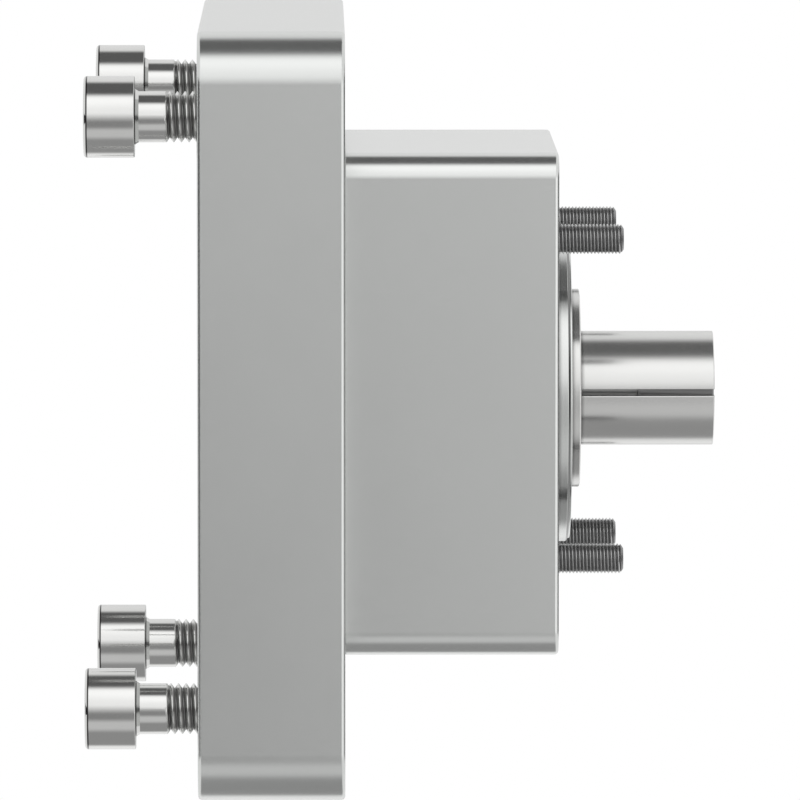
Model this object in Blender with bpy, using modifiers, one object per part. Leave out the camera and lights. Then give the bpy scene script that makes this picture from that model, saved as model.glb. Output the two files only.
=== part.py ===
"""Motor mounting kit: flange plate, coupling housing and an axial jaw coupling with an expanding mandrel.

The shaft axis is X. The origin is on the axis, in the plane of the housing's drive-side face.
+X points to the driven machine, -X to the motor, and +Z is up.
"""

import bpy
import bmesh
from math import atan2, cos, pi, radians, sin, sqrt
from mathutils import Matrix, Vector

MM = 0.001

# Clearances
FIT_GAP = 0.3 * MM          # between pieces that fit or seat on each other
RUNNING_GAP = 0.6 * MM      # round the turning collar
SWING_GAP = 1.2 * MM        # round the clamp screw's head as the coupling turns
CUT_OVERRUN = 2.0 * MM      # how far a cutter stands out of what it cuts

# Motor flange
FLANGE_SIDE = 151.0 * MM
FLANGE_THICKNESS = 29.0 * MM
FLANGE_CORNER_RADIUS = 10.0 * MM
MOTOR_PILOT_DIAMETER = 130.0 * MM
MOTOR_PILOT_DEPTH = 5.0 * MM
MOTOR_BOLT_CIRCLE = 165.0 * MM

# Coupling housing
HOUSING_DEPTH = 85.0 * MM
HOUSING_HEIGHT = 100.0 * MM
HOUSING_LENGTH = 42.0 * MM
HOUSING_CORNER_RADIUS = 5.0 * MM
DRIVE_PILOT_DIAMETER = 62.0 * MM
DRIVE_PILOT_LENGTH = 3.0 * MM
DRIVE_PILOT_ROUNDING = 1.0 * MM
LIP_LENGTH = 7.5 * MM       # narrow end of the bore, round the collar
EDGE_BREAK = 0.8 * MM

# Motor screws, M10
MOTOR_SCREW_DIAMETER = 10.0 * MM
MOTOR_SCREW_HEAD_DIAMETER = 16.0 * MM
MOTOR_SCREW_HEAD_HEIGHT = 10.0 * MM
MOTOR_SCREW_SOCKET = 8.0 * MM
MOTOR_SCREW_STANDOFF = 12.3 * MM
MOTOR_SCREW_ENGAGEMENT = 27.7 * MM

# Drive screws, M6 fine
DRIVE_SCREW_DIAMETER = 6.0 * MM
DRIVE_SCREW_HEAD_DIAMETER = 10.0 * MM
DRIVE_SCREW_HEAD_HEIGHT = 6.0 * MM
DRIVE_SCREW_SOCKET = 5.0 * MM
DRIVE_SCREW_PROUD = 13.2 * MM
DRIVE_SCREW_SEAT_DEPTH = 10.2 * MM
DRIVE_SPACING_DEPTH = 52.0 * MM
DRIVE_SPACING_HEIGHT = 64.0 * MM

# Flange screws, M6
FLANGE_SCREW_DIAMETER = 6.0 * MM
FLANGE_SCREW_HEAD_DIAMETER = 10.0 * MM
FLANGE_SCREW_HEAD_HEIGHT = 6.0 * MM
FLANGE_SCREW_SOCKET = 5.0 * MM
FLANGE_SCREW_SINK = 0.5 * MM
FLANGE_SCREW_ENGAGEMENT = 12.5 * MM
FLANGE_SPACING_DEPTH = 28.0 * MM
FLANGE_SPACING_HEIGHT = 84.0 * MM

# Jaw coupling
COUPLING_DIAMETER = 40.0 * MM
COLLAR_PROUD = 5.0 * MM
DRIVE_HUB_FLANGE = 10.0 * MM
JAW_SPACE = 16.0 * MM
JAW_END_GAP = 2.5 * MM
JAWS_PER_HUB = 3
MOTOR_HUB_LENGTH = 25.0 * MM
MOTOR_SHAFT_DIAMETER = 24.0 * MM
HUB_CHAMFER = 0.6 * MM
CLAMP_SLIT = 2.0 * MM
SPIDER_THICKNESS = 12.0 * MM
SPIDER_BORE = 18.0 * MM
SPIDER_LEG_WIDTH = 7.0 * MM
SPIDER_SET_BACK = 0.5 * MM

# Expanding mandrel
MANDREL_DIAMETER = 23.0 * MM
MANDREL_LENGTH = 27.0 * MM
MANDREL_CHAMFER = 0.6 * MM
MANDREL_SLIT = 1.25 * MM
CONE_LENGTH = 14.5 * MM
CONE_END_DIAMETER = 17.4 * MM
CONE_HALF_ANGLE = radians(10.5)
CONE_RECESS = 0.5 * MM

# Tension screw, M8, and clamp screw, M5
TENSION_SCREW_DIAMETER = 8.0 * MM
TENSION_SCREW_HEAD_DIAMETER = 13.0 * MM
TENSION_SCREW_HEAD_HEIGHT = 8.0 * MM
TENSION_SCREW_SOCKET = 6.0 * MM
TENSION_SCREW_SEAT = 6.0 * MM
TENSION_SCREW_END_MARGIN = 1.0 * MM
CLAMP_SCREW_DIAMETER = 5.0 * MM
CLAMP_SCREW_HEAD_DIAMETER = 8.5 * MM
CLAMP_SCREW_HEAD_HEIGHT = 5.0 * MM
CLAMP_SCREW_SOCKET = 4.0 * MM
CLAMP_SCREW_LENGTH = 16.0 * MM
CLAMP_SCREW_WALL = 1.3 * MM
CLAMP_SCREW_FROM_END = 12.0 * MM
CLAMP_EAR_THICKNESS = 5.5 * MM
ACCESS_HOLE_DIAMETER = 9.0 * MM

# Facets
LARGE_STEPS = 64
HUB_STEPS = 48
BOLT_STEPS = 32
HOLE_STEPS = 24
CORNER_SEGMENTS = 6
EDGE_SEGMENTS = 2
ROUNDING_SEGMENTS = 3
LEG_TIP_SEGMENTS = 4
RING_SEGMENTS = 3

# Planes across the shaft axis
HOUSING_BACK_X = -HOUSING_LENGTH
FLANGE_FRONT_X = HOUSING_BACK_X - FIT_GAP
MOTOR_FACE_X = FLANGE_FRONT_X - FLANGE_THICKNESS
RECESS_FLOOR_X = MOTOR_FACE_X + MOTOR_PILOT_DEPTH
COLLAR_FACE_X = COLLAR_PROUD
DRIVE_HUB_BACK_X = COLLAR_FACE_X - DRIVE_HUB_FLANGE
MOTOR_HUB_FRONT_X = DRIVE_HUB_BACK_X - JAW_SPACE
MOTOR_HUB_BACK_X = MOTOR_HUB_FRONT_X - MOTOR_HUB_LENGTH
MANDREL_END_X = COLLAR_FACE_X + MANDREL_LENGTH
CONE_END_X = MANDREL_END_X - CONE_RECESS
CONE_START_X = CONE_END_X - CONE_LENGTH
CLAMP_SCREW_X = MOTOR_HUB_BACK_X + CLAMP_SCREW_FROM_END

# Radii that follow from the fits
JAW_INNER_RADIUS = MOTOR_SHAFT_DIAMETER / 2
CLAMP_SCREW_OFFSET = MOTOR_SHAFT_DIAMETER / 2 + CLAMP_SCREW_WALL + CLAMP_SCREW_DIAMETER / 2
CLAMP_HEAD_OUTER_Y = CLAMP_EAR_THICKNESS + FIT_GAP + CLAMP_SCREW_HEAD_HEIGHT
CLAMP_SWING_RADIUS = sqrt(CLAMP_HEAD_OUTER_Y ** 2 + (CLAMP_SCREW_OFFSET + CLAMP_SCREW_HEAD_DIAMETER / 2) ** 2)
BORE_RADIUS = max(CLAMP_SWING_RADIUS, COUPLING_DIAMETER / 2) + SWING_GAP
LIP_RADIUS = COUPLING_DIAMETER / 2 + RUNNING_GAP

# Turns that lay a piece's own Z axis along the shaft, or across it towards -Y
ALONG_SHAFT = (pi / 2, 0.0, pi / 2)
ACROSS_SHAFT = (pi / 2, 0.0, 0.0)


def clear_scene():
    for obj in list(bpy.data.objects):
        bpy.data.objects.remove(obj, do_unlink=True)


def new_collection(name):
    collection = bpy.data.collections.new(name)
    bpy.context.scene.collection.children.link(collection)
    return collection


def new_material(name, colour, roughness, metallic):
    material = bpy.data.materials.new(name)
    material.use_nodes = True
    shader = material.node_tree.nodes["Principled BSDF"]
    shader.inputs["Base Color"].default_value = (*colour, 1.0)
    shader.inputs["Roughness"].default_value = roughness
    shader.inputs["Metallic"].default_value = metallic
    return material


def add_object(name, mesh, place, turn, collection):
    obj = bpy.data.objects.new(name, mesh)
    obj.location = place
    obj.rotation_euler = turn
    collection.objects.link(obj)
    return obj


def turned(name, profile, place, turn, collection, steps, closed=False):
    """Turn a profile of (radius, height) points, listed from its top down, about the piece's own Z axis."""
    shape = bmesh.new()
    corners = [shape.verts.new((radius, 0.0, height)) for radius, height in profile]
    for first, second in zip(corners, corners[1:]):
        shape.edges.new((first, second))
    if closed:
        shape.edges.new((corners[-1], corners[0]))
    mesh = bpy.data.meshes.new(name)
    shape.to_mesh(mesh)
    shape.free()
    obj = add_object(name, mesh, place, turn, collection)
    spin = obj.modifiers.new("turn", "SCREW")
    spin.axis = "Z"
    spin.angle = 2 * pi
    spin.steps = steps
    spin.render_steps = steps
    spin.use_merge_vertices = True
    spin.merge_threshold = 0.00001
    spin.use_smooth_shade = True
    return obj


def rounded_block(name, length, depth, height, corner_radius, edge_break, start_x, collection):
    """A block along the shaft whose four long edges are round, with its other edges lightly broken."""
    shape = bmesh.new()
    bmesh.ops.create_cube(shape, size=1.0)
    bmesh.ops.scale(shape, vec=(length, depth, height), verts=shape.verts)
    mesh = bpy.data.meshes.new(name)
    shape.to_mesh(mesh)
    shape.free()
    weights = mesh.attributes.new("bevel_weight_edge", "FLOAT", "EDGE")
    for edge in mesh.edges:
        ends = [mesh.vertices[index].co for index in edge.vertices]
        runs_along_shaft = abs(ends[0].x - ends[1].x) > length / 2
        weights.data[edge.index].value = 1.0 if runs_along_shaft else 0.0
    obj = add_object(name, mesh, (start_x + length / 2, 0.0, 0.0), (0.0, 0.0, 0.0), collection)
    corners = obj.modifiers.new("round corners", "BEVEL")
    corners.limit_method = "WEIGHT"
    corners.width = corner_radius
    corners.segments = CORNER_SEGMENTS
    edges = obj.modifiers.new("broken edges", "BEVEL")
    edges.limit_method = "ANGLE"
    edges.angle_limit = radians(40)
    edges.width = edge_break
    edges.segments = EDGE_SEGMENTS
    return obj


def flat_piece(name, outlines, start_x, end_x, collection):
    """Flat outlines of (y, z) points, extruded along the shaft. A second outline is a hole in the first."""
    curve = bpy.data.curves.new(name, "CURVE")
    curve.dimensions = "2D"
    curve.fill_mode = "BOTH"
    curve.extrude = (end_x - start_x) / 2
    for outline in outlines:
        spline = curve.splines.new("POLY")
        spline.points.add(len(outline) - 1)
        for point, (y, z) in zip(spline.points, outline):
            point.co = (y, z, 0.0, 1.0)
        spline.use_cyclic_u = True
    drawn = add_object(name + "_outline", curve, ((start_x + end_x) / 2, 0.0, 0.0), ALONG_SHAFT, collection)
    bpy.context.view_layer.update()
    graph = bpy.context.evaluated_depsgraph_get()
    mesh = bpy.data.meshes.new_from_object(drawn.evaluated_get(graph))
    shape = bmesh.new()
    shape.from_mesh(mesh)
    bmesh.ops.remove_doubles(shape, verts=shape.verts, dist=0.00001)
    bmesh.ops.recalc_face_normals(shape, faces=shape.faces)
    shape.to_mesh(mesh)
    shape.free()
    mesh.name = name
    obj = add_object(name, mesh, drawn.location, drawn.rotation_euler, collection)
    bpy.data.objects.remove(drawn, do_unlink=True)
    return obj


def box_cutter(name, low, high):
    shape = bmesh.new()
    bmesh.ops.create_cube(shape, size=1.0)
    bmesh.ops.scale(shape, vec=Vector(high) - Vector(low), verts=shape.verts)
    mesh = bpy.data.meshes.new(name)
    shape.to_mesh(mesh)
    shape.free()
    return as_cutter(add_object(name, mesh, (Vector(low) + Vector(high)) / 2, (0.0, 0.0, 0.0), cutters))


def hole_cutter(name, steps_down, place, turn, steps):
    """A stepped round hole from (radius, end height) stretches, listed from the top height down."""
    top, stretches = steps_down
    profile = [(0.0, top)]
    for radius, end in stretches:
        profile.append((radius, profile[-1][1]))
        profile.append((radius, end))
    profile.append((0.0, profile[-1][1]))
    return as_cutter(turned(name, profile, place, turn, cutters, steps))


def as_cutter(obj):
    obj.hide_render = True
    obj.display_type = "WIRE"
    return obj


def combine(piece, other, operation):
    change = piece.modifiers.new(operation.lower() + " " + other.name, "BOOLEAN")
    change.operation = operation
    change.object = other
    change.solver = "EXACT"


def cut(piece, cutter):
    combine(piece, cutter, "DIFFERENCE")


def finish(piece, material):
    """Give a piece its material, on its own faces and on those that cutters leave."""
    piece.data.materials.clear()
    piece.data.materials.append(material)


def corner_places(depth_spacing, height_spacing):
    """The four corners of a screw pattern as (y, z), from the near top corner round to the near bottom one."""
    signs = ((-1, 1), (1, 1), (1, -1), (-1, -1))
    return [(y * depth_spacing / 2, z * height_spacing / 2) for y, z in signs]


def cap_screw(name, diameter, head_diameter, head_height, length, socket, place, turn, steps, material):
    """A socket head cap screw. Its head rests at height 0 and its shank points up its own Z axis."""
    radius = diameter / 2
    head_radius = head_diameter / 2
    chamfer = diameter / 8
    profile = [
        (0.0, length),
        (radius - chamfer, length),
        (radius, length - chamfer),
        (radius, 0.0),
        (head_radius, 0.0),
        (head_radius, chamfer / 2 - head_height),
        (head_radius - chamfer / 2, -head_height),
        (0.0, -head_height),
    ]
    screw = turned(name, profile, place, turn, parts, steps)
    hexagon = bmesh.new()
    bmesh.ops.create_cone(
        hexagon, cap_ends=True, segments=6, depth=head_height,
        radius1=socket / sqrt(3), radius2=socket / sqrt(3),
    )
    mesh = bpy.data.meshes.new(name + "_socket")
    hexagon.to_mesh(mesh)
    hexagon.free()
    key_hole = as_cutter(add_object(name + "_socket", mesh, place, turn, cutters))
    key_hole.location = screw.matrix_basis @ Vector((0.0, 0.0, -head_height))
    cut(screw, key_hole)
    finish(screw, material)
    return screw


def make_motor_flange(material):
    flange = rounded_block(
        "motor_flange", FLANGE_THICKNESS, FLANGE_SIDE, FLANGE_SIDE,
        FLANGE_CORNER_RADIUS, EDGE_BREAK, MOTOR_FACE_X, parts,
    )
    front = FLANGE_FRONT_X + CUT_OVERRUN
    back = MOTOR_FACE_X - CUT_OVERRUN
    opening = [(BORE_RADIUS, RECESS_FLOOR_X), (MOTOR_PILOT_DIAMETER / 2, back)]
    cut(flange, hole_cutter("flange_opening", (front, opening), (0.0, 0.0, 0.0), ALONG_SHAFT, LARGE_STEPS))
    thread = [(MOTOR_SCREW_DIAMETER / 2 + FIT_GAP, back)]
    for y, z in corner_places(MOTOR_BOLT_CIRCLE / sqrt(2), MOTOR_BOLT_CIRCLE / sqrt(2)):
        cut(flange, hole_cutter("motor_thread", (front, thread), (0.0, y, z), ALONG_SHAFT, BOLT_STEPS))
    seat = RECESS_FLOOR_X + FLANGE_SCREW_SINK + FLANGE_SCREW_HEAD_HEIGHT + FIT_GAP
    passage = [
        (FLANGE_SCREW_DIAMETER / 2 + FIT_GAP, seat),
        (FLANGE_SCREW_HEAD_DIAMETER / 2 + FIT_GAP, RECESS_FLOOR_X - CUT_OVERRUN),
    ]
    for y, z in corner_places(FLANGE_SPACING_DEPTH, FLANGE_SPACING_HEIGHT):
        cut(flange, hole_cutter("flange_screw_seat", (front, passage), (0.0, y, z), ALONG_SHAFT, HOLE_STEPS))
    finish(flange, material)


def make_coupling_housing(material):
    housing = rounded_block(
        "coupling_housing", HOUSING_LENGTH, HOUSING_DEPTH, HOUSING_HEIGHT,
        HOUSING_CORNER_RADIUS, EDGE_BREAK, HOUSING_BACK_X, parts,
    )
    pilot_radius = DRIVE_PILOT_DIAMETER / 2
    rim = [
        (
            pilot_radius - DRIVE_PILOT_ROUNDING * (1 - sin(step * pi / 2 / ROUNDING_SEGMENTS)),
            DRIVE_PILOT_LENGTH - DRIVE_PILOT_ROUNDING * (1 - cos(step * pi / 2 / ROUNDING_SEGMENTS)),
        )
        for step in range(ROUNDING_SEGMENTS + 1)
    ]
    pilot_profile = [(0.0, DRIVE_PILOT_LENGTH), *rim, (pilot_radius, -CUT_OVERRUN), (0.0, -CUT_OVERRUN)]
    pilot = turned("drive_pilot", pilot_profile, (0.0, 0.0, 0.0), ALONG_SHAFT, cutters, LARGE_STEPS)
    combine(housing, as_cutter(pilot), "UNION")
    front = DRIVE_PILOT_LENGTH + CUT_OVERRUN
    back = HOUSING_BACK_X - CUT_OVERRUN
    bore = [(LIP_RADIUS, DRIVE_PILOT_LENGTH - LIP_LENGTH), (BORE_RADIUS, back)]
    cut(housing, hole_cutter("housing_bore", (front, bore), (0.0, 0.0, 0.0), ALONG_SHAFT, LARGE_STEPS))
    passage = [
        (DRIVE_SCREW_DIAMETER / 2 + FIT_GAP, HOUSING_BACK_X + DRIVE_SCREW_SEAT_DEPTH),
        (DRIVE_SCREW_HEAD_DIAMETER / 2 + FIT_GAP, back),
    ]
    for y, z in corner_places(DRIVE_SPACING_DEPTH, DRIVE_SPACING_HEIGHT):
        cut(housing, hole_cutter("drive_screw_seat", (front, passage), (0.0, y, z), ALONG_SHAFT, HOLE_STEPS))
    thread_end = HOUSING_BACK_X + FLANGE_SCREW_ENGAGEMENT + CUT_OVERRUN
    thread = [(FLANGE_SCREW_DIAMETER / 2 + FIT_GAP, back)]
    for y, z in corner_places(FLANGE_SPACING_DEPTH, FLANGE_SPACING_HEIGHT):
        cut(housing, hole_cutter("flange_thread", (thread_end, thread), (0.0, y, z), ALONG_SHAFT, HOLE_STEPS))
    access = (0.0, [(ACCESS_HOLE_DIAMETER / 2, -HOUSING_DEPTH / 2 - CUT_OVERRUN)])
    place = (CLAMP_SCREW_X, 0.0, -CLAMP_SCREW_OFFSET)
    cut(housing, hole_cutter("clamp_access", access, place, ACROSS_SHAFT, HOLE_STEPS))
    finish(housing, material)


def make_motor_screws(material):
    spacing = MOTOR_BOLT_CIRCLE / sqrt(2)
    for number, (y, z) in enumerate(corner_places(spacing, spacing), start=1):
        cap_screw(
            f"motor_screw_{number}", MOTOR_SCREW_DIAMETER, MOTOR_SCREW_HEAD_DIAMETER, MOTOR_SCREW_HEAD_HEIGHT,
            MOTOR_SCREW_STANDOFF + MOTOR_SCREW_ENGAGEMENT, MOTOR_SCREW_SOCKET,
            (MOTOR_FACE_X - MOTOR_SCREW_STANDOFF, y, z), ALONG_SHAFT, BOLT_STEPS, material,
        )


def make_drive_screws(material):
    head_x = HOUSING_BACK_X + DRIVE_SCREW_SEAT_DEPTH - FIT_GAP
    for number, (y, z) in enumerate(corner_places(DRIVE_SPACING_DEPTH, DRIVE_SPACING_HEIGHT), start=1):
        cap_screw(
            f"drive_screw_{number}", DRIVE_SCREW_DIAMETER, DRIVE_SCREW_HEAD_DIAMETER, DRIVE_SCREW_HEAD_HEIGHT,
            DRIVE_SCREW_PROUD - head_x, DRIVE_SCREW_SOCKET,
            (head_x, y, z), ALONG_SHAFT, HOLE_STEPS, material,
        )


def make_flange_screws(material):
    head_x = RECESS_FLOOR_X + FLANGE_SCREW_SINK + FLANGE_SCREW_HEAD_HEIGHT
    length = HOUSING_BACK_X + FLANGE_SCREW_ENGAGEMENT - head_x
    for number, (y, z) in enumerate(corner_places(FLANGE_SPACING_DEPTH, FLANGE_SPACING_HEIGHT), start=1):
        cap_screw(
            f"flange_screw_{number}", FLANGE_SCREW_DIAMETER, FLANGE_SCREW_HEAD_DIAMETER, FLANGE_SCREW_HEAD_HEIGHT,
            length, FLANGE_SCREW_SOCKET, (head_x, y, z), ALONG_SHAFT, HOLE_STEPS, material,
        )


def jaw_gap_cutter(name, middle_angle, start_x, end_x):
    """What is cut from a hub between two of its jaws: two spider legs and the other hub's jaw between them."""
    leg_angle = pi / (2 * JAWS_PER_HUB)
    side = SPIDER_LEG_WIDTH / 2 + FIT_GAP
    reach = COUPLING_DIAMETER
    outline = []
    for turn_sense, distances in ((-1, (0.0, reach)), (1, (reach, 0.0))):
        direction = middle_angle + turn_sense * leg_angle
        along = Vector((cos(direction), sin(direction)))
        across = Vector((-sin(direction), cos(direction))) * turn_sense * side
        outline.extend(along * distance + across for distance in distances)
    return as_cutter(flat_piece(name, [outline], start_x, end_x, cutters))


def cut_jaws(hub, first_gap_angle, start_x, end_x):
    for number in range(JAWS_PER_HUB):
        angle = first_gap_angle + number * 2 * pi / JAWS_PER_HUB
        cut(hub, jaw_gap_cutter(hub.name + "_jaw_gap", angle, start_x, end_x))


def make_motor_hub(material):
    outer = COUPLING_DIAMETER / 2
    inner = MOTOR_SHAFT_DIAMETER / 2
    jaw_end = DRIVE_HUB_BACK_X - JAW_END_GAP
    profile = [
        (outer, jaw_end),
        (outer, MOTOR_HUB_BACK_X + HUB_CHAMFER),
        (outer - HUB_CHAMFER, MOTOR_HUB_BACK_X),
        (inner + HUB_CHAMFER, MOTOR_HUB_BACK_X),
        (inner, MOTOR_HUB_BACK_X + HUB_CHAMFER),
        (inner, jaw_end),
    ]
    hub = turned("motor_hub", profile, (0.0, 0.0, 0.0), ALONG_SHAFT, parts, HUB_STEPS, closed=True)
    cut_jaws(hub, pi / JAWS_PER_HUB, MOTOR_HUB_FRONT_X, jaw_end + CUT_OVERRUN)
    slit_low = (MOTOR_HUB_BACK_X - CUT_OVERRUN, -CLAMP_SLIT / 2, -outer - CUT_OVERRUN)
    slit_high = (MOTOR_HUB_FRONT_X + CUT_OVERRUN, CLAMP_SLIT / 2, 0.0)
    cut(hub, box_cutter("clamp_slit", slit_low, slit_high))
    passage = [
        (CLAMP_SCREW_DIAMETER / 2 + FIT_GAP, -CLAMP_EAR_THICKNESS),
        (CLAMP_SCREW_HEAD_DIAMETER / 2 + FIT_GAP, -outer - CUT_OVERRUN),
    ]
    place = (CLAMP_SCREW_X, 0.0, -CLAMP_SCREW_OFFSET)
    cut(hub, hole_cutter("clamp_screw_seat", (outer + CUT_OVERRUN, passage), place, ACROSS_SHAFT, HOLE_STEPS))
    finish(hub, material)
    return hub


def make_clamp_screw(material):
    return cap_screw(
        "clamp_screw", CLAMP_SCREW_DIAMETER, CLAMP_SCREW_HEAD_DIAMETER, CLAMP_SCREW_HEAD_HEIGHT,
        CLAMP_SCREW_LENGTH, CLAMP_SCREW_SOCKET,
        (CLAMP_SCREW_X, CLAMP_EAR_THICKNESS + FIT_GAP, -CLAMP_SCREW_OFFSET), ACROSS_SHAFT, HOLE_STEPS, material,
    )


def make_coupling_spider(material):
    """An elastomer star: a ring with a leg on each side of every jaw."""
    ring_radius = JAW_INNER_RADIUS - FIT_GAP
    tip_radius = COUPLING_DIAMETER / 2 - SPIDER_SET_BACK
    half_width = SPIDER_LEG_WIDTH / 2
    root_half_angle = atan2(half_width, sqrt(ring_radius ** 2 - half_width ** 2))
    tip_half_angle = atan2(half_width, sqrt(tip_radius ** 2 - half_width ** 2))
    leg_count = 2 * JAWS_PER_HUB
    pitch = 2 * pi / leg_count
    star = []
    for leg in range(leg_count):
        middle = (leg + 0.5) * pitch
        for step in range(LEG_TIP_SEGMENTS + 1):
            angle = middle - tip_half_angle + step * 2 * tip_half_angle / LEG_TIP_SEGMENTS
            star.append((tip_radius * cos(angle), tip_radius * sin(angle)))
        between_roots = pitch - 2 * root_half_angle
        for step in range(RING_SEGMENTS + 1):
            angle = middle + root_half_angle + step * between_roots / RING_SEGMENTS
            star.append((ring_radius * cos(angle), ring_radius * sin(angle)))
    bore_radius = SPIDER_BORE / 2
    turns = [step * 2 * pi / HUB_STEPS for step in range(HUB_STEPS)]
    bore = [(bore_radius * cos(angle), bore_radius * sin(angle)) for angle in turns]
    middle_x = MOTOR_HUB_FRONT_X + JAW_SPACE / 2
    start_x = middle_x - SPIDER_THICKNESS / 2
    spider = flat_piece("coupling_spider", [star, bore], start_x, start_x + SPIDER_THICKNESS, parts)
    finish(spider, material)
    return spider


def cone_radius(x):
    """Radius of the expansion cone, or of the mouth that it sits in, at a place along the shaft."""
    return CONE_END_DIAMETER / 2 - (CONE_END_X - x) * sin(CONE_HALF_ANGLE) / cos(CONE_HALF_ANGLE)


def make_drive_hub(material):
    outer = COUPLING_DIAMETER / 2
    mandrel = MANDREL_DIAMETER / 2
    jaw_end = MOTOR_HUB_FRONT_X + JAW_END_GAP
    seat_radius = TENSION_SCREW_HEAD_DIAMETER / 2 + FIT_GAP
    seat_x = DRIVE_HUB_BACK_X + TENSION_SCREW_SEAT + FIT_GAP
    screw_hole = TENSION_SCREW_DIAMETER / 2 + FIT_GAP
    mouth_start = CONE_START_X - FIT_GAP
    profile = [
        (cone_radius(MANDREL_END_X) + FIT_GAP, MANDREL_END_X),
        (mandrel - MANDREL_CHAMFER, MANDREL_END_X),
        (mandrel, MANDREL_END_X - MANDREL_CHAMFER),
        (mandrel, COLLAR_FACE_X),
        (outer - HUB_CHAMFER, COLLAR_FACE_X),
        (outer, COLLAR_FACE_X - HUB_CHAMFER),
        (outer, jaw_end),
        (JAW_INNER_RADIUS, jaw_end),
        (JAW_INNER_RADIUS, DRIVE_HUB_BACK_X),
        (seat_radius, DRIVE_HUB_BACK_X),
        (seat_radius, seat_x),
        (screw_hole, seat_x),
        (screw_hole, mouth_start),
        (cone_radius(mouth_start) + FIT_GAP, mouth_start),
    ]
    hub = turned("drive_hub", profile, (0.0, 0.0, 0.0), ALONG_SHAFT, parts, HUB_STEPS, closed=True)
    cut_jaws(hub, 0.0, jaw_end - CUT_OVERRUN, DRIVE_HUB_BACK_X)
    slit_low = (COLLAR_FACE_X + FIT_GAP, -mandrel - CUT_OVERRUN, -MANDREL_SLIT / 2)
    slit_high = (MANDREL_END_X + CUT_OVERRUN, mandrel + CUT_OVERRUN, MANDREL_SLIT / 2)
    cut(hub, box_cutter("mandrel_slit", slit_low, slit_high))
    finish(hub, material)
    return hub


def make_expansion_cone(material):
    hole = TENSION_SCREW_DIAMETER / 2 + FIT_GAP
    profile = [
        (cone_radius(CONE_END_X), CONE_END_X),
        (cone_radius(CONE_START_X), CONE_START_X),
        (hole, CONE_START_X),
        (hole, CONE_END_X),
    ]
    cone = turned("expansion_cone", profile, (0.0, 0.0, 0.0), ALONG_SHAFT, parts, HUB_STEPS, closed=True)
    finish(cone, material)
    return cone


def make_tension_screw(material):
    head_x = DRIVE_HUB_BACK_X + TENSION_SCREW_SEAT
    return cap_screw(
        "tension_screw", TENSION_SCREW_DIAMETER, TENSION_SCREW_HEAD_DIAMETER, TENSION_SCREW_HEAD_HEIGHT,
        CONE_END_X - TENSION_SCREW_END_MARGIN - head_x, TENSION_SCREW_SOCKET,
        (head_x, 0.0, 0.0), ALONG_SHAFT, HOLE_STEPS, material,
    )


def put_on_axis(name, pieces):
    """Parent the turning pieces to an empty on the shaft axis, where they already are."""
    axis = bpy.data.objects.new(name, None)
    parts.objects.link(axis)
    for piece in pieces:
        piece.parent = axis
        piece.matrix_parent_inverse = Matrix.Identity(4)


clear_scene()
parts = new_collection("motor_coupling_kit")
cutters = new_collection("motor_coupling_kit_cutters")

make_motor_flange(new_material("flange aluminium", (0.60, 0.61, 0.60), 0.36, 1.0))
make_coupling_housing(new_material("housing aluminium", (0.62, 0.63, 0.62), 0.34, 1.0))
make_motor_screws(new_material("motor screw steel", (0.66, 0.66, 0.65), 0.18, 1.0))
make_drive_screws(new_material("drive screw steel", (0.60, 0.60, 0.59), 0.20, 1.0))
make_flange_screws(new_material("flange screw steel", (0.55, 0.55, 0.54), 0.24, 1.0))
turning_pieces = [
    make_motor_hub(new_material("motor hub aluminium", (0.62, 0.63, 0.63), 0.30, 1.0)),
    make_clamp_screw(new_material("clamp screw steel", (0.20, 0.20, 0.20), 0.40, 1.0)),
    make_coupling_spider(new_material("spider elastomer", (0.46, 0.05, 0.04), 0.45, 0.0)),
    make_drive_hub(new_material("drive hub steel", (0.66, 0.66, 0.65), 0.24, 1.0)),
    make_expansion_cone(new_material("cone steel", (0.56, 0.56, 0.55), 0.26, 1.0)),
    make_tension_screw(new_material("tension screw steel", (0.20, 0.20, 0.20), 0.40, 1.0)),
]
put_on_axis("coupling_axis", turning_pieces)
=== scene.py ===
"""Looks for the motor coupling kit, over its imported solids.

It builds the machined flange and housing, the threaded screws, the turned coupling and a studio.
"""

from math import cos, degrees, pi, radians, sin, sqrt, tan
from typing import NamedTuple

import bmesh
import bpy
from bpy.props import FloatProperty, FloatVectorProperty, PointerProperty
from mathutils import Matrix, Vector


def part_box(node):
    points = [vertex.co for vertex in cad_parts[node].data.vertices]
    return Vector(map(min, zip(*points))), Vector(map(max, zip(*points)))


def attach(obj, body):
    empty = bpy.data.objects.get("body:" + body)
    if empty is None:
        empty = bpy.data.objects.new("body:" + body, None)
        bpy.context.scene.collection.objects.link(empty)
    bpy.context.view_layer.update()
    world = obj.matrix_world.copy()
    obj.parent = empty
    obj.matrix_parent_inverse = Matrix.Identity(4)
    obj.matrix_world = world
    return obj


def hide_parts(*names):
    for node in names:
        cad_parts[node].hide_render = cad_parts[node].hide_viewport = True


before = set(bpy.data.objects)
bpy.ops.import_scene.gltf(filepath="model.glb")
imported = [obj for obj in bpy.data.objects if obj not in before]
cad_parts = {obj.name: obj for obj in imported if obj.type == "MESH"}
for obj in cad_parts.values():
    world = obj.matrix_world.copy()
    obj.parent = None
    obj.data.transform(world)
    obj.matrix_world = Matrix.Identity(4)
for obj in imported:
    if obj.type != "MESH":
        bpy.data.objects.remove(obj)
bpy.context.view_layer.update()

bl_info = {
    "name": "Motor coupling kit looks",
    "version": (1, 0, 0),
    "blender": (4, 5, 0),
    "location": "View3D > Sidebar > Coupling Kit",
    "description": "Builds the visible pieces of a motor coupling kit over its solids, with a studio",
    "category": "Object",
}

MM = 0.001
FULL_TURN = 2 * pi
QUARTER_TURN = pi / 2
ORIGIN = (0.0, 0.0, 0.0)
SHAFT_AXIS = (1.0, 0.0, 0.0)
UPRIGHT_AXIS = (0.0, 0.0, 1.0)
WHITE = (1.0, 1.0, 1.0)

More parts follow.
